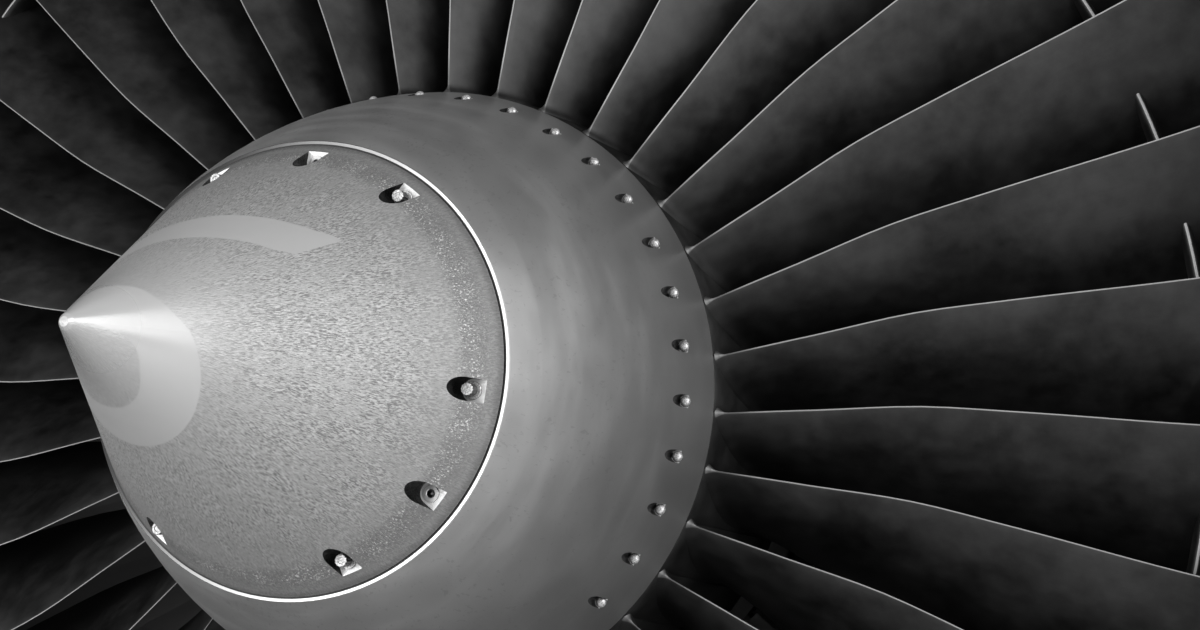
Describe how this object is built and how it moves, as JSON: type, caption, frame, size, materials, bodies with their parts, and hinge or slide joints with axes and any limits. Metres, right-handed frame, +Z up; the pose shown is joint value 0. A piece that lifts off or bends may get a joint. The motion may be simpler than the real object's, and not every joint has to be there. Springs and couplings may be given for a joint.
{
  "type": "turbofan jet engine",
  "caption": "Bare two-spool high-bypass turbofan with a conical spinner, part-span-shrouded fan blades, fan case, core, gearbox and mounts.",
  "frame": {"origin": "centre of the fan case's front flange, on its front face", "axes": "+Y aft along the shaft, +Z up towards the mounts, +X to the right seen from the front"},
  "size_m": [1.9595, 2.813, 1.9659],
  "materials": {
    "cone_coating": "satin coating, eroded",
    "rear_cone_coating": "satin metallic coating",
    "bare_bolts": "bare machined",
    "insert_steel": "machined",
    "blade_titanium": "dark polished titanium",
    "rotor_steel": "machined",
    "bearing_steel": "ground",
    "hot_alloy": "heat stained alloy",
    "hot_case": "heat stained sheet",
    "case_paint": "semi-gloss grey",
    "liner_composite": "perforated composite",
    "abradable": "matt rubbed lining",
    "case_steel": "machined",
    "pipe_steel": "bright tube",
    "gearbox_casting": "cast",
    "accessory_metal": "satin",
    "tank_paint": "satin",
    "unit_paint": "matt"
  },
  "bodies": {
    "casing": {"fan_case": "case_paint", "front_liner": "liner_composite", "abradable_shroud": "abradable", "rear_liner": "liner_composite", "case_bolts": "bare_bolts", "guide_vanes": "blade_titanium", "guide_vane_ring": "case_paint", "splitter": "case_paint", "booster_case": "case_paint", "booster_vanes": "rotor_steel", "fan_frame": "case_paint", "front_bearing_support": "rotor_steel", "fan_thrust_bearing": "bearing_steel", "fan_roller_bearing": "bearing_steel", "core_thrust_bearing": "bearing_steel", "rear_roller_bearing": "bearing_steel", "hpc_case": "case_steel", "hpc_vanes": "rotor_steel", "combustor_case": "case_steel", "combustor_liner": "hot_alloy", "fuel_nozzles": "pipe_steel", "fuel_manifold": "pipe_steel", "igniters": "pipe_steel", "hpt_nozzle": "hot_alloy", "turbine_case": "hot_case", "lpt_nozzles": "hot_alloy", "turbine_rear_frame": "hot_case", "exhaust_nozzle": "hot_case", "exhaust_plug": "hot_case", "forward_mount": "case_steel", "accessory_gearbox": "gearbox_casting", "transfer_gearbox": "gearbox_casting", "starter": "accessory_metal", "fuel_pump": "gearbox_casting", "generator": "accessory_metal", "hydraulic_pump": "gearbox_casting", "oil_tank": "tank_paint", "control_unit": "unit_paint"},
    "lp_spool": {"spinner_front_cone": "cone_coating", "spinner_rear_cone": "rear_cone_coating", "cone_bolts": "bare_bolts", "jackscrew_inserts": "insert_steel", "balance_screws": "bare_bolts", "rear_cone_bolts": "bare_bolts", "fan_disk": "rotor_steel", "fan_blades": "blade_titanium", "blade_spacers": "insert_steel", "booster_drum": "rotor_steel", "booster_blades": "rotor_steel", "fan_shaft": "rotor_steel", "lp_shaft": "rotor_steel", "intershaft_bearing": "bearing_steel", "lpt_rotor": "hot_alloy", "lpt_blades": "hot_alloy"},
    "core_spool": {"hpc_front_shaft": "rotor_steel", "hpc_drum": "rotor_steel", "hpc_blades": "rotor_steel", "hpt_disk": "hot_alloy", "hpt_blades": "hot_alloy"}
  },
  "joints": [
    {"name": "lp_spin", "type": "hinge", "parent": "casing", "child": "lp_spool", "pos_m": [0, 0.5, 0], "axis": [0, 1, 0], "continuous": true},
    {"name": "core_spin", "type": "hinge", "parent": "casing", "child": "core_spool", "pos_m": [0, 1, 0], "axis": [0, 1, 0], "continuous": true}
  ]
}
